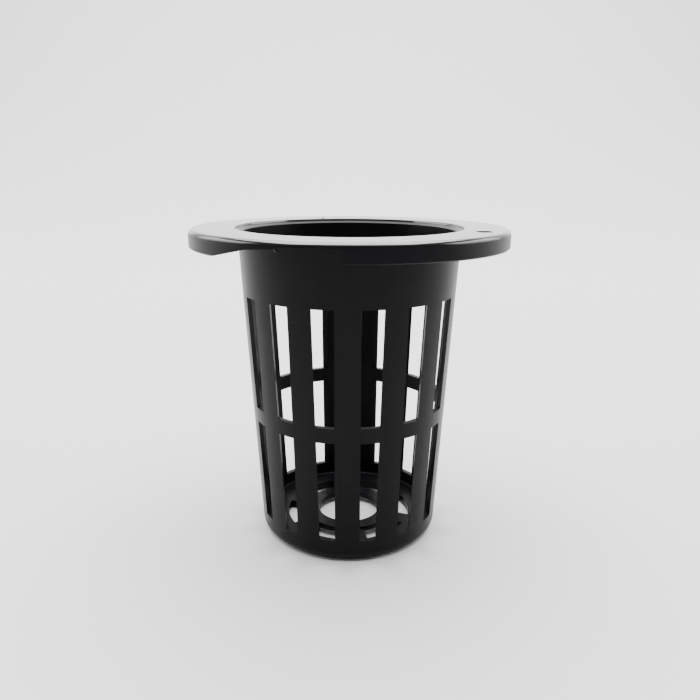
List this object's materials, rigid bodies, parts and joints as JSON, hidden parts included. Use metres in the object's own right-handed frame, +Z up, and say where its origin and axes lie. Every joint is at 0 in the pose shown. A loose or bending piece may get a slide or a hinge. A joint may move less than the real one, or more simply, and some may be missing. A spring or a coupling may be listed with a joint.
{
  "type": "hydroponic net pot",
  "caption": "Tapered basket pot with slotted wall and base, a wide flat rim with a hanging lip, a ramped lip cut-out and a small peg hole.",
  "frame": {"origin": "middle of the base, on the ground plane that the foot stands on", "axes": "+Z up along the pot's axis to the mouth, -Y towards the front, +X towards the side with the peg hole"},
  "size_m": [0.0694, 0.0694, 0.0711],
  "materials": {
    "pot_plastic": "satin-gloss black moulded polypropylene"
  },
  "bodies": {
    "root": {"net_pot": "pot_plastic"}
  },
  "joints": []
}
